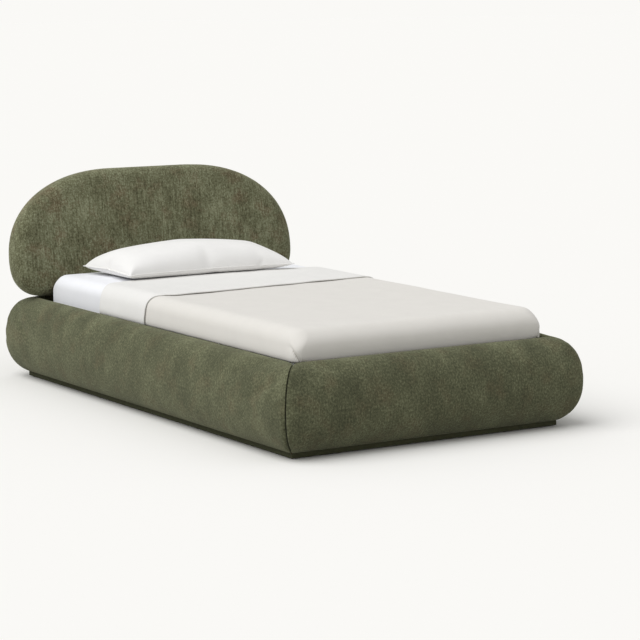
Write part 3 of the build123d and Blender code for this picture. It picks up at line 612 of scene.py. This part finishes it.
def makeRail(title, node, runs, side):
    # runs is the axis that the rail follows, side the sign of its place on the other one
    s = railSizes
    count = s["around"]
    soft = resample(railLine(s), count)
    held = resample([(s["board"], s["bottom"] + s["boardRise"]), (s["board"], s["boardTop"]),
                     (s["boardGap"], s["boardTop"])], count)
    inner, half = (innerX, innerY - s["seam"]) if runs == "Y" else (innerY, innerX - s["seam"])
    rows = [-half + e for e in s["seamRows"]]
    rows += spread(-half + s["plainRows"], half - s["plainRows"], s["step"])
    rows += [half - e for e in reversed(s["seamRows"])]
    points, cloth, pinned = [], [], []
    for row, q in enumerate(rows):
        skew = ease(half - s["skew"], half, abs(q))
        # The mitre seam pulls the cover in
        tuck = s["tuck"] * math.exp((abs(q) - half) / s["tuckWidth"])
        for i, (d, z) in enumerate(soft):
            before, after = soft[max(i - 1, 0)], soft[min(i + 1, count - 1)]
            slope = Vector((after[0] - before[0], after[1] - before[1])).normalized()
            pull = (tuck + s["shrink"]) * ease(0, 4, min(i, count - 1 - i))
            d -= slope.y * pull
            points.append((q + math.copysign(d * skew, q), d, z + slope.x * pull))
            cloth.append((points[-1][0], s["weaveStep"] * i, 0.0))
            if i < 2 or i > count - 3 or row < 2 or row > len(rows) - 3:
                pinned.append(len(points) - 1)
        for i, (d, z) in enumerate(reversed(held)):
            points.append((q + math.copysign(d * skew, q), d, z))
            cloth.append((q, s["heldWeave"][0] + s["heldWeave"][1] * i, 0.0))
            pinned.append(len(points) - 1)
    ring = 2 * count
    faces = tubeFaces(len(rows), ring)
    for row in (0, len(rows) - 1):
        for i in range(count - 1):
            a, b = row * ring + i, row * ring + ring - 1 - i
            faces.append((a, a + 1, b - 1, b))
    placed = []
    for along, depth, z in points:
        out = side * (inner + depth)
        placed.append((out, along, z) if runs == "Y" else (along, out, z))
    piece = addPiece(title, placed, faces)
    setVectors(piece, "weave", cloth)
    reshape(piece, turnOut)
    puff(piece, pinned, s["pressure"], s["cap"])
    subdivide(piece)
    dress(piece, "chenilleRails", "chenille_fabric", "base", node)


for place, runs, side in (("Right", "Y", 1), ("Left", "Y", -1), ("Head", "X", 1), ("Foot", "X", -1)):
    makeRail("railCover" + place, "rail_pad_" + place.lower(), runs, side)
print("rails covered")

marginSizes = {"Width": 0.0010, "Height": 0.026, "Rounding": 0.0003}
stapleSizes = {"Spacing": 0.031, "Crown": 0.0105, "Wire": 0.0006}
marginPlace = {"inset": 0.0006, "stapleInset": 0.0009, "level": 0.2835}
bands = bandTree(marginSizes)


def insideLine(title, inset):  # a closed line round the bay, inside the boards
    x, y, z = innerX - inset, innerY - inset, marginPlace["level"]
    return closedLine(title, [(-x, -y, z), (x, -y, z), (x, y, z), (-x, y, z)])


def makeMargin():  # the chenille's raw margin, turned in over the boards and stapled
    piece = insideLine("stapledMargin", marginPlace["inset"])
    grow(piece, bands, "chenilleRails", marginSizes)
    setWeave(piece, lambda co: (co.x + co.y, co.z, 0.0))
    dress(piece, "chenilleRails", "chenille_fabric", "base")
    row = insideLine("marginStaples", marginPlace["inset"] + marginPlace["stapleInset"])
    grow(row, stapleTree(stapleSizes), "zincPlate", stapleSizes)
    dress(row, "zincPlate", "zinc_steel", "base")


makeMargin()
print("margin stapled")


headboardSizes = {
    "front": 0.917, "level": 0.350, "lean": 9.0, "flat": 0.1665, "across": 0.5035, "centre": 0.15226,
    "below": 0.3035, "above": 0.36647, "exponent": 2.2, "bottom": 0.00175, "corner": 0.12,
    "spine": 0.44, "spineLevel": 0.25, "columns": 110, "capRings": 12,
    "edge": 0.044, "thickness": 0.12, "pocket": 0.0597, "foam": 0.0447,
    "legPlace": 0.3795, "legWidth": 0.0606, "legDepths": (0.0627, 0.0885), "legLevels": (-0.03, 0.09),
    "backInset": 0.061, "backStart": 0.0883, "backEdge": 0.014,
}


def boardPlace(co):  # a point in the headboard's own plane: across, up, and depth from its front
    s = headboardSizes
    turn = math.radians(s["lean"])
    y, z = co.y - s["front"], co.z - s["level"]
    return co.x, y * math.sin(turn) + z * math.cos(turn), y * math.cos(turn) - z * math.sin(turn)


def leanBack(x, up, depth):  # the other way round: from the headboard's plane to its place
    s = headboardSizes
    turn = math.radians(s["lean"])
    return (x, s["front"] + depth * math.cos(turn) + up * math.sin(turn),
            s["level"] + up * math.cos(turn) - depth * math.sin(turn))


def boardOutline():
    # A superellipse split by a short flat, cut off level where it sits on the rails, corners rounded
    s = headboardSizes
    curve = []
    for degrees in evenly(-60, 90, 600):
        across, up = superellipse(math.radians(degrees), s["exponent"])
        reach = s["above" if up > 0 else "below"]
        curve.append(Vector((s["flat"] + s["across"] * across, s["centre"] + reach * up)))
    for k in range(1, 600):
        along = (curve[k + 1] - curve[k - 1]).normalized()
        middle = curve[k] + Vector((-along.y, along.x)) * s["corner"]
        if middle.y >= s["bottom"] + s["corner"]:
            break
    line = [(0.0, s["bottom"])]
    for degrees in evenly(-90.0, math.degrees(math.atan2(-along.x, along.y)), 32):
        turn = math.radians(degrees)
        line.append((middle.x + s["corner"] * math.cos(turn), middle.y + s["corner"] * math.sin(turn)))
    line += [tuple(c) for c in curve[k + 1:]] + [(0.0, s["centre"] + s["above"])]
    return resample(line, s["columns"])


def roundEdge(inset, depth, radius, rear):  # a rounded edge of the section, as (inset, depth)
    turns = evenly(0.0, math.pi / 2, 6)
    if rear:
        return [(inset + radius * (1 - math.cos(t)), depth - radius * (1 - math.sin(t))) for t in turns]
    return [(inset + radius * (1 - math.sin(t)), depth + radius * (1 - math.cos(t))) for t in turns]


def boardShell(title, section):
    # Rings of the outline at each (inset, depth), closed at both ends towards a spine in the middle
    s = headboardSizes
    right = boardOutline()
    count = len(right)
    loop = right + [(-x, up) for x, up in right[-2:0:-1]]
    total = len(loop)
    spine = []
    for i in range(total):
        k, side = (i, 1) if i < count else (total - i, -1)
        spine.append(Vector((side * s["spine"] * math.sin(math.pi * k / (count - 1)), s["spineLevel"])))
    rings = []
    for inset, depth in section:
        ring = []
        for i in range(total):
            along = (Vector(loop[(i + 1) % total]) - Vector(loop[i - 1])).normalized()
            place = Vector(loop[i]) + Vector((-along.y, along.x)) * inset
            ring.append((place.x, place.y, depth))
        rings.append(ring)
    front, rear = [[[(x + (end.x - x) * t, up + (end.y - up) * t, depth)
                     for (x, up, depth), end in zip(ring, spine)]
                    for t in evenly(0, 1, s["capRings"])[1:]] for ring in (rings[0], rings[-1])]
    rings = front[::-1] + rings + rear
    piece = addPiece(title, [leanBack(*p) for ring in rings for p in ring], tubeFaces(len(rings), total))
    return reshape(piece, weld, turnOut)


def cutLegs(piece):  # slots in the lower rim, where the two legs come down behind the board
    s = headboardSizes
    for side in (-1, 1):
        corners = [(side * s["legPlace"] + a * s["legWidth"] / 2, up, depth) for a in (-1, 1)
                   for up in s["legLevels"] for depth in s["legDepths"]]
        faces = [(0, 1, 3, 2), (4, 6, 7, 5), (0, 4, 5, 1), (2, 3, 7, 6), (0, 2, 6, 4), (1, 5, 7, 3)]
        cutter = reshape(addPiece("legCutter", [leanBack(*c) for c in corners], faces), weld, turnOut)
        cut = piece.modifiers.new("Slot", "BOOLEAN")
        cut.operation = "DIFFERENCE"
        cut.object = cutter
        settle(piece)
        discard(cutter)
    piece.data.set_sharp_from_angle(angle=math.radians(50))


def makeBoardCover(title, node, section, held, pressure, cap):
    piece = boardShell(title, section)
    puff(piece, [v.index for v in piece.data.vertices if held(*boardPlace(v.co))], pressure, cap)
    subdivide(piece)
    if node == "headboard_front_pad":
        cutLegs(piece)
    setWeave(piece, boardPlace)
    dress(piece, "chenilleHeadboard", "chenille_fabric", "base", node)


def makeHeadboard():
    s = headboardSizes
    deep, pocket, foam = s["thickness"], s["pocket"], s["foam"]
    wrap = roundEdge(0, 0, s["edge"], False) + [(0.0, deep / 2)] + roundEdge(0, deep, s["edge"], True)
    wrap += [(pocket - 0.003, deep), (pocket, deep - 0.003), (pocket, deep - 0.018), (pocket, deep - 0.04),
             (pocket, foam + 0.012), (pocket, foam + 0.002), (pocket + 0.002, foam)]
    makeBoardCover("headboardFrontCover", "headboard_front_pad", wrap,
                   lambda x, up, depth: depth > 0.07 or (depth > 0.003 and up < 0.02), 4.0, 0.0035)
    inset, start = s["backInset"], s["backStart"]
    pad = [(inset + 0.003, start), (inset, start + 0.003), (inset, start + 0.011)]
    pad += roundEdge(inset, deep, s["backEdge"], True)
    makeBoardCover("headboardBackCover", "headboard_back_pad", pad, lambda x, up, depth: depth < 0.1,
                   3.0, 0.003)


makeHeadboard()
print("headboard covered")


mattressSizes = {"halfWidth": 0.530, "foot": -0.986, "head": 0.913, "bottom": 0.2353, "top": 0.4353,
                 "corner": 0.055, "round": 0.044, "hemCorner": 0.020, "voxel": 0.018, "smooth": 2,
                 "shrink": 0.003, "heldBelow": 0.25, "pressure": 3.0, "cap": 0.003, "tapeInset": 0.0045,
                 "tapeRise": 0.0052, "tape": {"Width": 0.0075, "Height": 0.0065, "Rounding": 0.003}}


def shrinkMattress(form):
    relax(form, form.verts, mattressSizes["smooth"])
    form.normal_update()
    for vertex in form.verts:
        vertex.co -= vertex.normal * mattressSizes["shrink"]


def makeMattress():
    m = mattressSizes
    piece = copyNode("mattress", "mattressBody")
    remesh = piece.modifiers.new("Remesh", "REMESH")
    remesh.mode = "VOXEL"
    remesh.voxel_size = m["voxel"]
    settle(piece)
    reshape(piece, shrinkMattress)
    puff(piece, [v.index for v in piece.data.vertices if v.co.z < m["heldBelow"]], m["pressure"], m["cap"])
    subdivide(piece)
    setWeave(piece)
    dress(piece, "ticking", "mattress_ticking", "platform", "mattress")
    return piece


def makeTape():  # the bound tape round the mattress's lower edge
    m = mattressSizes
    inset, corner = m["tapeInset"], m["corner"]
    spots = []
    for sx, sy, start in ((1, 1, 0), (-1, 1, 90), (-1, -1, 180), (1, -1, 270)):
        x = sx * (m["halfWidth"] - inset - corner)
        y = m["head"] - inset - corner if sy > 0 else m["foot"] + inset + corner
        for degrees in evenly(start, start + 90, 8):
            turn = math.radians(degrees)
            spots.append((x + corner * math.cos(turn), y + corner * math.sin(turn),
                          m["bottom"] + m["tapeRise"]))
    piece = closedLine("mattressTape", spots)
    grow(piece, bands, "tapeCotton", m["tape"])
    dress(piece, "tapeCotton", "mattress_ticking", "platform")


mattress = makeMattress()
makeTape()
print("mattress made")


# Heights above the floor between which the sides' forms come and go
drape = {"bulge": (0.318, 0.345, 0.35, 0.43), "belly": (0.332, 0.385, 0.39, 0.438),
         "tight": (0.425, 0.37), "press": (0.392, 0.352), "lean": 1300, "leanFrom": 0.338, "steep": 0.28,
         "topStep": 0.013, "sideStep": 0.0075, "openEdge": (0.003, 0.008), "curlReach": 0.016}


def coverSheet(title, look):
    # Rows of the flat top, then rings that run out from it, round the edge and down to the hem.
    m, s = mattressSizes, drape
    r, edge, raised = m["corner"], m["round"], look["grow"]
    w = m["halfWidth"] - r
    head, foot = look.get("headEnd", m["head"] - r), look.get("footEnd", m["foot"] + r)
    ys = spread(head, foot, look["step"])
    for end, sign, name in ((0, -1, "headEnd"), (-1, 1, "footEnd")):
        if name in look:  # close rows keep an open edge crisp
            ys = sorted(set(ys + [ys[end] + sign * e for e in s["openEdge"]]), reverse=True)
    xs = spread(-w, w, look["step"])
    points = [Vector((x, y, m["top"] + raised)) for y in ys for x in xs]
    cloth = [(x, y, 0.0) for y in ys for x in xs]
    grid = [[j * len(xs) + i for i in range(len(xs))] for j in range(len(ys))]
    left, right, up, down = Vector((-1, 0)), Vector((1, 0)), Vector((0, 1)), Vector((0, -1))

    def corner(spot, before, after):  # directions that turn a quarter round a corner of the flat top
        turns = evenly(0.0, math.pi / 2, look["turns"])[1:-1]
        return [(spot, before * math.cos(t) + after * math.sin(t)) for t in turns]

    path = [(line[0], left) for line in grid]
    if "footEnd" in look:
        path.append(None)
    else:
        path += corner(grid[-1][0], left, down) + [(v, down) for v in grid[-1]]
        path += corner(grid[-1][-1], down, right)
    path += [(line[-1], right) for line in reversed(grid)]
    if "headEnd" not in look:
        path += corner(grid[0][-1], right, up) + [(v, up) for v in reversed(grid[0])]
        path += corner(grid[0][0], up, left)
    levels = [(reach, m["top"] + raised, reach) for reach in spread(0.0, r - edge, s["topStep"])[1:]]
    for turn in evenly(0.0, math.pi / 2, 6)[1:]:
        levels.append([start + (edge + raised) * way for start, way in (
            (r - edge, math.sin(turn)), (m["top"] - edge, math.cos(turn)), (r - edge, turn))])
    wide, brim, before = levels[-1]
    levels += [(wide, z, before + brim - z) for z in spread(brim, look["hem"], s["sideStep"])[1:]]
    faces = [(a[i], b[i], b[i + 1], a[i + 1]) for a, b in zip(grid, grid[1:]) for i in range(len(xs) - 1)]
    rings = []
    for spot in path:
        if spot is None:
            rings.append(None)
            continue
        base, way = spot
        ring = [base]
        for reach, z, run in levels:
            share = ((brim - z) / (brim - look["hem"])) ** 1.6 if z < brim else 0.0
            # It bulges a little over the rail's edge, and above it at the foot
            out = reach + share * look["flare"]
            out += look["swell"] * (1 - 0.5 * way.y ** 2) * hump(*s["bulge"], z)
            out += look["footSwell"] * way.y ** 2 * hump(*s["belly"], z)
            p = points[base].copy()
            if abs(way.x * way.y) > 0.001:  # the corner gets tighter towards the hem, its pleat pressed in
                tight = ease(*s["tight"], z) * (r - m["hemCorner"])
                p += Vector((math.copysign(tight, way.x), math.copysign(tight, way.y), 0))
                out -= tight
                if way.y < 0:
                    out -= pleat(look["pleat"], math.degrees(math.atan2(abs(way.y), abs(way.x))), z)
            ring.append(len(points))
            points.append(Vector((p.x + way.x * out, p.y + way.y * out, z)))
            cloth.append((p.x + way.x * run, p.y + way.y * run, 0.0))
        rings.append(ring)
    if "headEnd" not in look:
        rings.append(rings[0])
    for a, b in zip(rings, rings[1:]):
        if a is None or b is None:
            continue
        for k in range(len(levels)):
            quad = (a[k], a[k + 1], b[k + 1], b[k])
            faces.append(quad[:3] if a[k] == b[k] else quad)
    if "slant" in look:  # the folded edge lies askew and curls back at the side; the other one bows
        for p in points:
            share = max((p.y - head) / (foot - head), 0)
            near = look["slant"] * p.x + look["curl"] * ease(0.43, 0.54, -p.x)
            lift = max(1 - (p.y - foot) / s["curlReach"], 0) ** 2
            p.y += near * share ** 2 - look["bow"] * (p.x / m["halfWidth"]) ** 4 * max(1 - share, 0) ** 3
            out = Vector((p.x, 0, max(p.z - (m["top"] - edge), 0)))
            if abs(p.x) < w + 0.01:
                out = Vector((0, 0, 1))
            p += out.normalized() * look["lift"] * min(lift, 1)
    piece = addPiece(title, points, faces)
    setVectors(piece, "weave", cloth)
    return piece


def pleat(look, angle, z):  # how far the pleat of a foot corner is pressed in
    at, wide, deep = look
    at -= drape["lean"] * (z - drape["leanFrom"])  # it leans towards the long side
    if angle <= at:
        wide *= drape["steep"]  # and laps over the foot with a steep edge
    return deep * ease(*drape["press"], z) * math.exp(-((angle - at) / wide) ** 2)


def crumple(piece, look):  # long soft wrinkles; stronger on the sides, where nothing holds the cloth
    for vertex in piece.data.vertices:
        co, n = vertex.co, vertex.normal
        side = 1 - abs(n.z)
        amount = look["topWrinkle"] * (1 - side) * wobble((co.x * 1.6, co.y * 0.7, 0), 0.16, look["seed"])
        side *= ease(0, 0.09, mattressSizes["top"] - co.z)
        amount += look["sideWrinkle"] * side * wobble((co.x, co.y, co.z * 0.25), 0.085, look["seed"] + 5)
        vertex.co = co + n * max(amount, -0.0008)


bedding = {
    "fittedSheet": {
        "finish": "fittedPercale", "slot": "white_cotton", "node": "fitted_sheet", "flat": (1.30, 2.15),
        "held": "stretched", "grow": 0.0004, "step": 0.022, "turns": 28, "hem": 0.3153, "flare": 0.0,
        "swell": 0.0, "footSwell": 0.0, "pleat": (58, 14, 0.015), "topWrinkle": 0.0006,
        "sideWrinkle": 0.0010, "seed": 3.1, "thickness": 0.0014},
    "blanketCover": {
        "finish": "brushedCotton", "slot": "blanket_cotton", "node": "blanket", "flat": (1.30, 1.55),
        "held": "draped", "grow": 0.0026, "headEnd": 0.440, "step": 0.018, "turns": 28, "hem": 0.330,
        "flare": 0.003, "swell": 0.006, "footSwell": 0.006, "pleat": (59, 13, 0.0165),
        "topWrinkle": 0.0020, "sideWrinkle": 0.0022, "seed": 7.7, "thickness": 0.0048},
    "turnedSheet": {
        "finish": "topSheetPercale", "slot": "fold_cotton", "node": "top_sheet", "flat": (1.30, 0.47),
        "held": "folded", "grow": 0.0079, "headEnd": 0.500, "footEnd": 0.052, "step": 0.014, "hem": 0.330,
        "flare": 0.003, "swell": 0.008, "footSwell": 0.0, "topWrinkle": 0.0014, "sideWrinkle": 0.0016,
        "seed": 12.3, "thickness": 0.0048, "slant": 0.088, "curl": 0.075, "bow": 0.043, "lift": 0.0034},
}


def makeBedding(title):
    look = bedding[title]
    piece = coverSheet(title, look)
    crumple(piece, look)
    wall = piece.modifiers.new("Wall", "SOLIDIFY")
    wall.thickness = look["thickness"]
    wall.offset = 1.0
    settle(piece)
    subdivide(piece)
    dress(piece, look["finish"], look["slot"], "platform", look["node"])
    return piece


fitted = makeBedding("fittedSheet")
blanket = makeBedding("blanketCover")
makeBedding("turnedSheet")
print("bedding laid")


pillowSizes = {"low": (-0.410, 0.455), "high": (0.360, 0.855), "base": 0.4494, "rear": 0.4388,
               "seam": 0.465, "top": 0.5735, "across": 64, "along": 36, "pressure": 10.0, "smooth": 6,
               "lip": {"Width": 0.013, "Height": 0.0022, "Rounding": 0.0009}}


def smoothPillow(form):  # all but its seam
    inner = [v for v in form.verts if not any(abs(f.normal.z) < 0.02 for f in v.link_faces)]
    relax(form, inner, pillowSizes["smooth"])


def makePillow():
    s = pillowSizes
    nx, ny = s["across"], s["along"]
    width, depth = s["high"][0] - s["low"][0], s["high"][1] - s["low"][1]
    points, index, faces = [], {}, []
    for layer in (0, 1):
        for j in range(ny + 1):
            for i in range(nx + 1):
                if layer == 1 and (i in (0, nx) or j in (0, ny)):
                    index[1, i, j] = index[0, i, j]
                    continue
                u, v = 2 * i / nx - 1, 2 * j / ny - 1
                swell = (1 - abs(u) ** 2.6) * (1 - abs(v) ** 2.2)
                z = (0.052 if layer else -0.022) * swell ** 0.5 if swell > 0 else 0.0
                index[layer, i, j] = len(points)
                points.append((u * width / 2, v * depth / 2, z))
        for j in range(ny):
            for i in range(nx):
                q = [index[layer, i + a, j + b] for a, b in ((0, 0), (1, 0), (1, 1), (0, 1))]
                faces.append(q if layer else q[::-1])
    piece = addPiece("pillowCase", points, faces)
    puff(piece, [], s["pressure"], 1.0, 24)
    reshape(piece, smoothPillow)
    low, high = [[pick(v.co[k] for v in piece.data.vertices) for k in range(3)] for pick in (min, max)]
    for vertex in piece.data.vertices:
        co = vertex.co
        x = s["low"][0] + (co.x - low[0]) / (high[0] - low[0]) * width
        y = s["low"][1] + (co.y - low[1]) / (high[1] - low[1]) * depth
        if co.z > 0:
            z = s["seam"] + co.z / high[2] * (s["top"] - s["seam"])
        else:
            floor = s["base"] + (s["rear"] - s["base"]) * ease(0.545, 0.575, y)
            z = s["seam"] + co.z / low[2] * (s["base"] - 0.02 - s["seam"])
            z = max(z, floor + 0.0006)
        vertex.co = (x, y, z)
    border = [(i, 0) for i in range(nx)] + [(nx, j) for j in range(ny)]
    border += [(i, ny) for i in range(nx, 0, -1)] + [(0, j) for j in range(ny, 0, -1)]
    rim = [piece.data.vertices[index[0, i, j]].co.copy() for i, j in border]
    subdivide(piece)
    setWeave(piece)
    dress(piece, "pillowPercale", "pillow_cotton", "platform", "pillow")
    seam = closedLine("pillowSeam", rim)
    grow(seam, bands, "pillowPercale", s["lip"])
    setWeave(seam)
    dress(seam, "pillowPercale", "pillow_cotton", "platform")


makePillow()
print("pillow filled")


studio = {"background": "#faf9f6", "world": 0.52, "sun": 1.86, "sunAngle": 58, "sunTurn": (0, -35.5, 0),
          "floorBounce": "#c8c7c4", "floorReach": 60}


def rayShare(add, *kinds):  # 1 for the given kinds of ray and 0 for the rest
    ray = add("ShaderNodeLightPath")
    share = ray.outputs[kinds[0]]
    for kind in kinds[1:]:
        share = add("ShaderNodeMath", {0: share, 1: ray.outputs[kind]}, operation="MAXIMUM")
    return share


def makeStage():
    world = bpy.data.worlds.new("studioWorld")
    scene.world = world
    world.use_nodes = True
    world.node_tree.nodes.clear()
    add = partial(addNode, world.node_tree)
    seen = rayShare(add, "Is Camera Ray", "Is Glossy Ray", "Is Transmission Ray")
    lit = add("ShaderNodeBackground", {"Color": "#ffffff", "Strength": studio["world"]})
    shown = add("ShaderNodeBackground", {"Color": studio["background"], "Strength": 1.0})
    mixed = add("ShaderNodeMixShader", {0: seen, 1: lit, 2: shown})
    add("ShaderNodeOutputWorld", {"Surface": mixed})

    far = studio["floorReach"]
    floor = addPiece("studioFloor", [(-far, -far, 0), (far, -far, 0), (far, far, 0), (-far, far, 0)],
                     [(0, 1, 2, 3)])
    finish, add, _ = startFinish("studioPaper", Roughness=1.0, Specular_IOR_Level=0.0)
    colour = add("ShaderNodeMix", {
        0: rayShare(add, "Is Camera Ray", "Is Glossy Ray"), 6: studio["floorBounce"],
        7: studio["background"]}, data_type="RGBA")
    floor.data.materials.append(endFinish(finish, Base_Color=colour))

    sun = addObject("studioSun", bpy.data.lights.new("studioSun", "SUN"))
    sun.data.energy = studio["sun"]
    sun.data.angle = math.radians(studio["sunAngle"])
    sun.rotation_euler = [math.radians(a) for a in studio["sunTurn"]]
    scene.view_settings.view_transform = "Standard"


makeStage()

cameraPlace = {"at": (-4.9475, -8.0362, 1.6912), "towards": (0.1872, -0.0191, 0.3046), "lens": 136.24}
camera = addObject("camera", bpy.data.cameras.new("camera"))
camera.data.lens = cameraPlace["lens"]
camera.data.sensor_width = 36.0
camera.data.clip_end = 200.0
camera.location = cameraPlace["at"]
look = Vector(cameraPlace["towards"]) - Vector(cameraPlace["at"])
camera.rotation_euler = look.to_track_quat("-Z", "Y").to_euler()
scene.camera = camera
